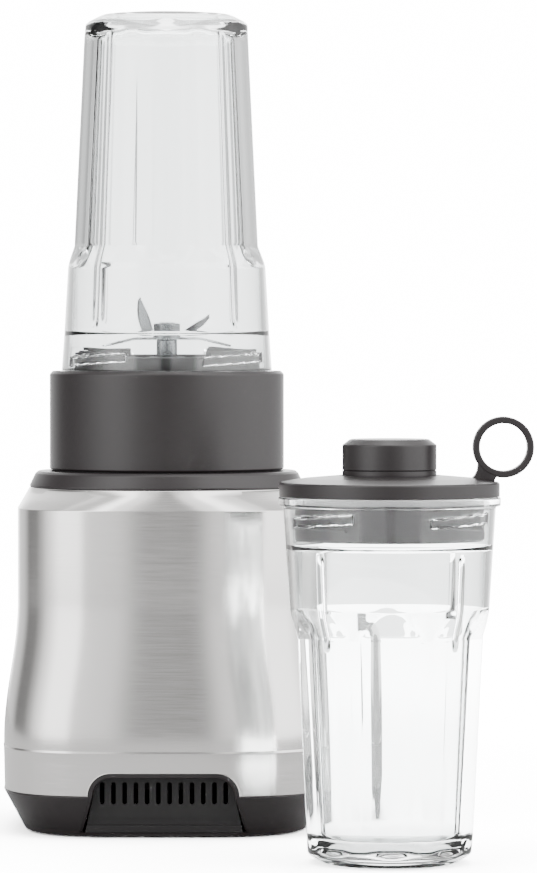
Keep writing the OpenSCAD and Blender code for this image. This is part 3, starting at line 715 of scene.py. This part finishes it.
def makeSkirt():
    s = skirt
    wide = steelBody["footHalf"] - 0.05
    section = [(s["lowHalf"], s["low"], 0.8), (wide, s["high"], 0.3),
               (wide - s["wall"], s["high"], 0.3), (s["lowHalf"] - s["wall"], s["low"], 0.3)]
    section = finer(rounded(section, 0.5, 4), lambda r, z: 6)
    n = steelBody["footSquareness"]
    obj = skin("bottomMoulding", [squareRing(h, z, n) for h, z in section])
    combine(obj, plate("tool", archLine(-0.6), (-95, arch["panel"]), frontPlace))
    combine(obj, plate("tool", archLine(-0.6, s["low"] + 1.4), (-95, -50), frontPlace))
    r = s["cordRadius"]
    cordHole = [(r * math.cos(a), s["cordHeight"] + r * math.sin(a))
                for a in (2 * math.pi * k / 40 for k in range(40))]
    combine(obj, plate("tool", cordHole, (55, 90), frontPlace))
    return piece(obj, "dark_grey_plastic", "base", "bottom_moulding")


# Frame that stands round the vent, with its front edge following the base's surface
def makeVentFrame():
    back = arch["panel"] + 4.5
    outer = archLine(-0.02, skirt["low"] + 0.05, 16)
    inner = archLine(-arch["frame"], skirt["low"] + 0.05, 16)
    outer = finer(outer, lambda a, b: 2.5, closed=False)
    inner = finer(inner, lambda a, b: 2.5, closed=False)
    # both lines need the same count, so they're read at equal shares of their length
    def spread(line, count):
        pts = np.array(line)
        along = np.concatenate([[0], np.cumsum(np.linalg.norm(np.diff(pts, axis=0), axis=1))])
        at = np.linspace(0, along[-1], count)
        return np.stack([np.interp(at, along, pts[:, 0]), np.interp(at, along, pts[:, 1])], 1)
    count = 120
    rings = []
    for (xo, zo), (xi, zi) in zip(spread(outer, count), spread(inner, count)):
        front = -frontReach(xo, zo) + 0.35
        ring = []
        for share, depth in ((0, 0.5), (0.08, 0.1), (0.25, 0), (0.6, 0), (0.85, 0.15), (0.97, 0.5),
                             (1, 1.0), (1, back - front), (0.5, back - front), (0, back - front)):
            ring.append((xo + (xi - xo) * share, front + depth, zo + (zi - zo) * share))
        rings.append(ring)
    return piece(endedSkin("ventFrame", rings), "dark_grey_plastic", "base")


vent = {"count": 12, "pitch": 5.2, "width": 2.2, "height": 10.3,
        "centre": 20.85, "thick": 2.4, "step": (6.0, 9.6)}


def makeVentPanel():
    v = vent
    outline = archLine(-arch["frame"] - 0.1, skirt["low"] + 1.6)
    outline = [(max(min(x, arch["half"] + 1.5), -arch["half"] - 1.5), z) for x, z in outline]
    obj = plate("ventPanel", outline, (arch["panel"], arch["panel"] + v["thick"]), frontPlace)
    side = arch["half"] + 5
    gap = [(-side, v["step"][0]), (side, v["step"][0]), (side, v["step"][1]), (-side, v["step"][1])]
    combine(obj, plate("tool", gap, (arch["panel"] - 1, arch["panel"] + 1.2), frontPlace))
    runTree(obj, slots, {
        "Count": v["count"], "Pitch": v["pitch"] * mm, "Slot Width": v["width"] * mm,
        "Slot Height": v["height"] * mm, "Depth": 6 * mm,
        "Centre": (0, (arch["panel"] + 4) * mm, v["centre"] * mm),
        "Material": materials["charcoal_plastic"],
    })
    return piece(obj, "charcoal_plastic", "base", "vent_panel")


surround = {"low": 157, "top": 168.6}


def makeSurround():
    top = surround["top"]
    section = rounded([(65.2, 161.05, 0.3), (65.2, 162, 0.5), (62.6, top - 1.2, 1), (61.2, top, 1.2),
                       (54.4, top, 0.5), (53.9, top - 0.5, 0.2), (53.9, surround["low"]),
                       (60.5, surround["low"]), (60.5, 161.05)], 0.3, 5)
    return piece(lathe("topSurround", section, 200), "dark_grey_plastic", "base", "top_surround")


feet = {"radius": 60, "first": 45}  # distance from the axis and angle of the first

screws = {"width": 60, "depth": 113}  # the rectangle whose corners they stand on


def makeFeet():
    section = rounded([(0, 0.4), (5, 0.4, 0.2), (5.4, 0, 0.2), (8, 0, 0.3), (8.4, 0.2, 0.2),
                       (8.9, 0.9, 0.1), (7.5, 0.9, 0.1), (7.5, 4, 0.3), (0, 4)], 0.2, 3, closed=False)
    foot = lathe("foot", section, 56)
    ring = repeat("rubberFeet", foot, "black_rubber", 4, feet["radius"], feet["first"])
    return piece(ring, "black_rubber", "base", "rubber_feet")


def makeScrews():
    section = rounded([(0, 0.5), (2.6, 0.5, 0.3), (3.2, 1, 0.4), (3.2, 1.95, 0.1), (1.7, 1.95, 0.1),
                       (1.7, 16, 0.3), (0, 16)], 0.2, 3, closed=False)
    screw = lathe("screw", section, 40)
    arm = [(-2, -0.35), (-0.35, -0.35), (-0.35, -2), (0.35, -2), (0.35, -0.35), (2, -0.35),
           (2, 0.35), (0.35, 0.35), (0.35, 2), (-0.35, 2), (-0.35, 0.35), (-2, 0.35)]
    combine(screw, plate("tool", arm, (0.3, 1.3), levelPlace))
    grid = repeat("baseScrews", screw, "ground_stainless", **screws)
    return piece(grid, "ground_stainless", "base", "base_screws")


makeSteelBody()
makeArchBead()
makeSkirt()
makeVentFrame()
makeVentPanel()
makeSurround()
makeFeet()
makeScrews()
print("motor base made")


# ---- blade holder ----

holder = {"radius": 55.75, "top": 216.0, "lugAngle": 26, "lugLow": 150.0, "lugHeight": 4.5}


# A lug round the axis, centred on +X, that climbs by rise over its span
def bentBlock(name, r1, r2, z1, z2, span, rise=0.0, edge=0.4, steps=14):
    ends = math.radians(span) / 2
    section = rounded([(r1, z1), (r2, z1), (r2, z2), (r1, z2)], edge, 3)
    middle = ((r1 + r2) / 2, (z1 + z2) / 2)
    rings = []
    for k in range(-1, steps + 2):
        t = min(max(k, 0), steps) / steps
        shrink = 0.55 if k in (-1, steps + 1) else 1
        a = -ends + 2 * ends * t
        lift = rise * (t - 0.5)
        ring = []
        for r, z in section:
            rr = middle[0] + (r - middle[0]) * shrink
            zz = middle[1] + (z - middle[1]) * shrink + lift
            ring.append((rr * math.cos(a), rr * math.sin(a), zz))
        rings.append(ring)
    return endedSkin(name, rings)


def makeSleeve():
    r, top = holder["radius"], holder["top"]
    section = rounded([
        (48.9, 149.5), (48.9, 169, 0.1), (r - 0.8, 169, 0), (r, 169.8, 0.6), (r, top - 1.5, 1.4),
        (r - 1.5, top, 1.4), (54, top, 0.4), (53.4, top - 0.6, 0.3), (53.4, 203.9, 0.2), (51.4, 203.9),
        (51.4, 201), (53, 199), (53, 174, 1), (46.4, 174), (46.4, 149.5)], 0.3, 5)
    obj = lathe("holderSleeve", section, 200)
    groove = lathe("groove", [(50.8, 168), (54.6, 168), (54.6, 171.2), (50.8, 171.2)], 128)
    combine(obj, groove)
    piece(obj, "dark_grey_plastic", "holder", "holder_sleeve")
    h = holder
    lug = bentBlock("lug", 48.5, 51.7, h["lugLow"], h["lugLow"] + h["lugHeight"], h["lugAngle"])
    piece(repeat("holderLugs", lug, "dark_grey_plastic", 3, 0, 90), "dark_grey_plastic", "holder")


def makeBladeBase():
    section = rounded([
        (4.6, 194.2), (9.2, 194, 0.3), (9.2, 205, 1.2), (22, 205.5), (34, 207.2), (41, 209, 0.5),
        (41.2, 204, 0.5), (53.3, 204, 0.2), (53.3, 208, 0.4), (44, 208.2, 0.3), (44, 222, 0.4),
        (42.2, 222.5, 0.5), (41.5, 221.4, 0.4), (40.6, 214.5, 1.5), (35, 211.5, 4), (22, 209, 6),
        (9, 208.8, 1.4), (8.8, 221.3, 0.5), (8.2, 222, 0.4), (6.5, 222, 0.3), (6.5, 217), (4.6, 217)],
        0.3, 4)
    obj = lathe("bladeBase", section, 180)
    piece(obj, "charcoal_plastic", "holder", "blade_base")
    post = bentBlock("post", 42.6, 43.9, 220, 225.4, 38)
    piece(repeat("cupLugPosts", post, "charcoal_plastic", 4, 0, 45), "charcoal_plastic", "holder")
    lug = bentBlock("cupLug", 43.6, 46.7, 223.95, 225.45, 36, 1.6, 0.3)
    piece(repeat("cupLugs", lug, "charcoal_plastic", 4, 0, 45), "charcoal_plastic", "holder")


makeSleeve()
makeBladeBase()
print("blade holder made")


# ---- blades ----

blades = {
    "thick": 1.2, "hub": 7.5, "width": 9.0, "grind": 2.6, "inner": 4.8, "bend": 2.2,
    # height, turn, then foot, length and tilt of the two arms
    "lower": (230.7, 8, ((16, 15, -14), (16, 15, -14))),
    "upper": (233.3, -40, ((11, 18, 28), (11, 17.5, 68))),
}


# One arm along +X as stations of six points: flat back, flat top and a ground cutting edge
def bladeArm(name, foot, length, tilt):
    b = blades
    half, width = b["thick"] / 2 - 0.02, b["width"]
    tilt = math.radians(tilt)
    inner, bend = b["inner"], b["bend"]
    stations = []
    for k in range(25):
        s = inner + (foot + length - inner) * k / 24
        if s < foot - bend:
            place, slope = (s, 0), 0
        elif s < foot + bend:
            t = (s - foot + bend) / (2 * bend)
            slope = tilt * t
            place = (foot - bend + 2 * bend * t * (math.cos(slope / 2)), bend * t * math.sin(slope / 2) * 2)
        else:
            edge = (foot - bend + 2 * bend * math.cos(tilt / 2), 2 * bend * math.sin(tilt / 2))
            run = s - foot - bend
            place, slope = (edge[0] + run * math.cos(tilt), edge[1] + run * math.sin(tilt)), tilt
        out = max(0, (s - foot - length * 0.35) / (length * 0.65))
        low = -width / 2 + 0.3 + max(0, out - 0.15) * 2.4
        high = width / 2 - 0.3 - out ** 1.6 * (width - 4.4)
        if s > foot + length - 0.9:
            low += 0.7
            high -= 0.7
        grind = b["grind"] * min(1, max(0, (s - b["hub"]) / 3)) * (1 - 0.45 * out)
        sharp = half * 0.85 * min(1, max(0, (s - b["hub"]) / 3))
        cross = [(low, -half), (high, -half), (high, half), (low + grind + 0.02, half),
                 (low, -half + 2 * (half - sharp) + 0.02)]
        up = (-math.sin(slope), math.cos(slope))
        stations.append([(place[0] + up[0] * h, w, place[1] + up[1] * h) for w, h in cross])
    return endedSkin(name, stations, 18)


def makeBlade(name, values, node):
    z, turn, arms = values
    half = blades["thick"] / 2
    hub = rounded([(4, -half), (blades["hub"], -half, 0.2), (blades["hub"], half, 0.2), (4, half)], 0.05, 3)
    obj = lathe(name, hub, 64)
    shapes = []
    for k, (foot, length, tilt) in enumerate(arms):
        arm = bladeArm("arm", foot, length, tilt)
        arm.data.transform(Matrix.Rotation(math.pi * k, 4, "Z"))
        shapes.append(arm)
    gather(obj, shapes, 18)
    obj.data.transform(Matrix.Translation((0, 0, z * mm)) @ Matrix.Rotation(math.radians(turn), 4, "Z"))
    return piece(obj, "ground_stainless", "blades", node)


nut = {"radius": 6.3, "low": 233.95, "high": 237.95, "bore": 4}


def makeNut():
    r, low, high = nut["radius"], nut["low"], nut["high"]
    chamfer = lathe("chamfer", [(0, low), (5.7, low), (r, 234.35), (r, 237.5), (5.5, high), (0, high)], 72)
    six = [(r * math.cos(a), r * math.sin(a)) for a in (math.pi / 3 * k for k in range(6))]
    obj = plate("bladeNut", six, (low, high), levelPlace)
    combine(obj, chamfer, "INTERSECT")
    bore = lathe("bore", [(0, 230), (nut["bore"], 230), (nut["bore"], 240), (0, 240)], 48)
    combine(obj, bore)
    return piece(obj, "ground_stainless", "blades", "blade_nut")


def makeSpindle():
    section = rounded([(0, 164), (3.6, 164, 0.3), (4, 164.5, 0.3), (4, 193.1, 0.05), (3.4, 193.1, 0.05),
                       (3.4, 194.1, 0.05), (4, 194.1, 0.05), (4, 237.8, 0.3), (3.5, 238.4, 0.3),
                       (0, 238.4)], 0.2, 3, closed=False)
    piece(lathe("bladeSpindle", section, 64), "ground_stainless", "blades", "blade_spindle")
    collar = rounded([(4, 222.4), (4.9, 222.4), (4.9, 230), (4, 230)], 0.3, 3)
    piece(lathe("spindleCollar", collar, 64), "ground_stainless", "blades", "spindle_collar")


makeBlade("lowerBlade", blades["lower"], "lower_blade")
makeBlade("upperBlade", blades["upper"], "upper_blade")
makeNut()
makeSpindle()
print("blades made")


# ---- cups ----

cups = {
    "panels": 8, "softness": 0.9, "ribWidth": 2.6, "ribs": 4, "lugHeight": 4.0,
    "lugMiddle": 9.5, "lugSpan": 46, "pitch": 16.0, "ledge": 21.5,
    # height, run-out and shoulder of the flats, radial scale, floor thickness, end of the ribs
    "blending": (173.0, 52.5, 63.0, 1.0, 4.6, 168.4),
    "travel": (161.5, 48.5, 60.5, 0.94, 7.0, 66.0),
}


def step01(t):
    t = min(max(t, 0), 1)
    return t * t * (3 - 2 * t)


# How far the inside of the wall stands in at an angle and height, for the ribs and screw lugs
def inward(angle, r, z, values):
    height, runOut, shoulder, k, floor, ribsTo = values
    c = cups
    quarter = math.pi / 2
    off = (angle - quarter / 2) - quarter * round((angle - quarter / 2) / quarter)
    best = 0.0
    arc = abs(off) * r
    if z > c["ledge"] + 2:
        face = np.interp(z, (26, runOut, shoulder + 1, height - 10), (43.8, 42.4, 39, 34.5)) * k
        ends = step01((z - c["ledge"] - 3) / 4) * step01((ribsTo - 0.5 - z) / 5)
        side = step01((c["ribWidth"] / 2 + 1 - arc) / 2)
        best = max(best, (r - face) * ends * side)
    if z < c["ledge"]:
        ends = math.radians(c["lugSpan"]) / 2
        middle = c["lugMiddle"] + c["pitch"] * off / (2 * math.pi)
        across = step01((c["lugHeight"] / 2 + 0.3 - abs(z - middle)) / 0.6)
        along = step01(((ends - abs(off)) * r + 0.5) / 1.6)
        best = max(best, (r - 45.2 * k) * across * along)
    return max(best, 0)


def cupAngles():
    even = 216
    angles = {round(360 / even * j, 4) for j in range(even)}
    for rib in range(cups["ribs"]):
        middle = 45 + 90 * rib
        for s in range(-9, 10):
            angles.add(round((middle + s * 0.4) % 360, 4))
        for s in range(-6, 7):
            angles.add(round((middle - 23 + s * 0.5) % 360, 4))
            angles.add(round((middle + 23 + s * 0.5) % 360, 4))
    for ridge in range(cups["panels"]):
        for s in range(-5, 6):
            angles.add(round((22.5 + 45 * ridge + s * 0.45) % 360, 4))
    kept = []
    for a in sorted(angles):
        if not kept or a - kept[-1] > 0.2:
            kept.append(a)
    return [math.radians(a) for a in kept]


def makeCup(name, values, slotPlace):
    height, runOut, shoulder, k, floor, ribsTo = values
    ledge = cups["ledge"]
    outer = [(52 * k, 0, 0.5), (52.28 * k, 0.5, 0.4), (52.28 * k, 3.6, 0.5), (50 * k, 4.2, 0.8),
             (48.8 * k, ledge, 3), (47 * k, runOut, 6), (46.1 * k, shoulder, 3), (41 * k, height - 12, 6),
             (38.6 * k, height - 4, 5), (30.5 * k, height, 6), (22 * k, height, 0.5),
             (20.5 * k, height - 1, 0.5), (0, height - 1)]
    inner = [(0, height - floor), (29 * k, height - floor, 5), (36 * k, height - floor - 6, 6),
             (41.2 * k, shoulder + 1, 5), (44.4 * k, runOut, 5), (45.4 * k, ledge + 0.8, 3),
             (46.6 * k, ledge - 0.4, 1.5), (47.5 * k, 0, 0.4)]
    outside = rounded([(50 * k, 0, 0)] + outer, 0.5, 5, closed=False)
    outside = finer(outside[1:], lambda r, z: 1.7, closed=False)
    inside = rounded(inner + [(50 * k, 0, 0)], 0.5, 5, closed=False)
    inside = finer(inside[:-1], lambda r, z: 0.45 if 4 < z < 16 and r > 40 * k else 1.7, closed=False)
    angles = cupAngles()
    rings = []
    for r, z in outside:
        if r < 1e-6:
            rings.append([(0, 0, z)])
        else:
            rings.append([(r * math.cos(a), r * math.sin(a), z) for a in angles])
    for r, z in inside:
        if r < 1e-6:
            rings.append([(0, 0, z)])
            continue
        ring = []
        for a in angles:
            rr = r - (inward(a, r, z, values) if r > 30 * k and z > 2 else 0)
            ring.append((rr * math.cos(a), rr * math.sin(a), z))
        rings.append(ring)
    marks = [i < len(outside) for i in range(len(rings))]
    obj = skin(name, rings, True, 60, marks)
    runTree(obj, flats, {
        "Panels": cups["panels"], "Run Out": runOut * mm, "Shoulder": shoulder * mm,
        "End": (height - 8) * mm, "Run Out Reach": 47.6 * k * mm, "Shoulder Reach": 43.4 * k * mm,
        "End Reach": 38.6 * k * mm, "Softness": cups["softness"] * mm,
        "Material": materials["clear_copolyester"],
    }, sharp=60)
    obj.data.transform(slotPlace)
    return obj


blendingPlace = Matrix.Translation((0, 0, 212 * mm))
travelPlace = Matrix.Translation((101.8 * mm, -164 * mm, 161.5 * mm)) @ Matrix.Rotation(math.pi, 4, "X")
piece(makeCup("blendingCup", cups["blending"], blendingPlace), "clear_copolyester", "cup", "blending_cup")
piece(makeCup("travelCup", cups["travel"], travelPlace), "clear_copolyester", "travel", "travel_cup")
print("cups made")


# ---- travel lid ----

lid = {"at": (101.8, -164.0), "loopX": 50.2, "loopZ": 183.6, "loopRadius": 13.48, "loopWall": 3.0,
       "loopWidth": 9.0, "top": 161.5}


def makeLid():
    low = lid["top"] + 0.3
    section = rounded([
        (48.7, low, 0.3), (48.7, 167.4, 0.6), (48.1, 168.2, 0.9), (38, 169.9, 12), (22.6, 171.2, 0.6),
        (21.9, 171, 0.2), (21.9, 169.2, 0.2), (17, 169.2, 0.3), (17, 181, 0.4), (14.6, 181, 0.4),
        (14.6, 166.2, 0.5), (39.4, 166, 0.5), (39.4, 143.2, 0.3), (40, 142.6, 0.3), (41.2, 142.6, 0.3),
        (41.8, 143.4, 0.3), (41.8, 163.4, 0.3), (47.9, 163.4, 0.3), (47.9, low, 0.2)], 0.3, 4)
    obj = lathe("travelLid", section, 180, lid["at"])
    piece(obj, "dark_grey_plastic", "lid", "travel_lid")
    lug = bentBlock("lidLug", 41.4, 43.9, 148.15, 149.65, 36, -1.6, 0.3)
    lugs = repeat("lidLugs", lug, "dark_grey_plastic", 4, 0, 45)
    lugs.data.transform(Matrix.Translation((lid["at"][0] * mm, lid["at"][1] * mm, 0)))
    piece(lugs, "dark_grey_plastic", "lid")


def sidePlace(a, b, d):
    return lid["at"][0] + a, lid["at"][1] + d, b


# The strap goes once round and its neck runs down into the lid
def makeLoop():
    p = lid
    half = p["loopWidth"] / 2
    r2 = p["loopRadius"]
    r1 = r2 - p["loopWall"]
    section = rounded([(r1, -half), (r2, -half), (r2, half), (r1, half)], 0.7, 4)
    rings = []
    for k in range(72):
        a = 2 * math.pi * k / 72
        rings.append([sidePlace(p["loopX"] + r * math.cos(a), p["loopZ"] + r * math.sin(a), w)
                      for r, w in section])
    piece(skin("carryLoop", rings), "dark_grey_plastic", "lid")
    inner = [(p["loopX"] + (r1 + 0.8) * math.cos(math.radians(a)),
              p["loopZ"] + (r1 + 0.8) * math.sin(math.radians(a))) for a in range(262, 168, -8)]
    neck = [(36.5, 168.2), (36.5, 170), (37.6, 171.2), (38.6, 173.2), (39, 176), (38.2, 181)]
    neck += inner[::-1] + [(48, 171.2), (46.6, 169.8), (46, 167.6)]
    piece(plate("loopNeck", neck, (-half + 0.1, half - 0.1), sidePlace, 0.6), "dark_grey_plastic", "lid")


def makeCap():
    r, low, top = 20.8, 169.5, 187.2
    section = rounded([(17.4, low, 0.3), (r - 1.2, low, 0.5), (r, low + 1.2, 0.5), (r, low + 3.6, 0.15),
                       (r - 0.5, low + 3.9, 0.1), (r, low + 4.2, 0.15), (r, top - 2.6, 0.7),
                       (r - 3.2, top - 0.2, 0.8), (r - 4, top, 1), (0, top + 0.3)], 0.3, 4, closed=False)
    under = rounded([(0, 183.5), (17.4, 183.5, 0.5), (17.4, low, 0.3)], 0.3, 3, closed=False)
    obj = lathe("screwCap", section + under[:-1], 160, lid["at"])
    return piece(obj, "dark_grey_plastic", "cap", "screw_cap")


makeLid()
makeLoop()
makeCap()
print("travel lid made")


# ---- stage ----

def makeStage():
    rings = [[(r * 1000 * math.cos(a), r * 1000 * math.sin(a), 0)
              for a in (2 * math.pi * k / 96 for k in range(96))] for r in (0.3, 0.8, studio["paper"])]
    obj = skin("paperFloor", [[(0, 0, 0)]] + rings, closed=False)
    if obj.data.polygons[0].normal.z < 0:
        obj.data.flip_normals()
    # White paper. What the camera sees of it, straight or through a cup, is over-exposed, as in a
    # product shot, while the blender is lit and mirrored by its plain brightness
    mat, tree = emptyMaterial("paperFloor")
    path = addNode(tree, "ShaderNodeLightPath")
    seen = addNode(tree, "ShaderNodeMath", {"operation": "MAXIMUM"}, {
        0: path.outputs["Is Camera Ray"], 1: path.outputs["Is Transmission Ray"]})
    coords = addNode(tree, "ShaderNodeTexCoord")
    away = addNode(tree, "ShaderNodeVectorMath", {"operation": "LENGTH"},
                   {0: coords.outputs["Object"]})
    far = addNode(tree, "ShaderNodeMapRange", {
        "interpolation_type": "SMOOTHSTEP", "From Min": studio["near"], "From Max": studio["far"],
        "To Min": 0, "To Max": studio["glow"]}, {"Value": away.outputs["Value"]})
    level = addNode(tree, "ShaderNodeMath", {"operation": "MULTIPLY"},
                    {0: far.outputs["Result"], 1: seen.outputs[0]})
    glow = addNode(tree, "ShaderNodeEmission", {0: (1, 1, 1, 1)}, {"Strength": level.outputs[0]})
    gain = addNode(tree, "ShaderNodeMix", {
        "data_type": "RGBA", 6: linear(studio["floor"]), 7: (studio["gain"],) * 3 + (1,)},
        {0: seen.outputs[0]})
    paper = addNode(tree, "ShaderNodeBsdfDiffuse", links={"Color": gain.outputs[2]})
    both = addNode(tree, "ShaderNodeAddShader", links={0: paper.outputs[0], 1: glow.outputs[0]})
    addNode(tree, "ShaderNodeOutputMaterial", links={"Surface": both.outputs[0]})
    obj.data.materials.append(mat)
    return obj


makeWorld()
makeLights(makeStage())
makeCamera()
print("stage made")
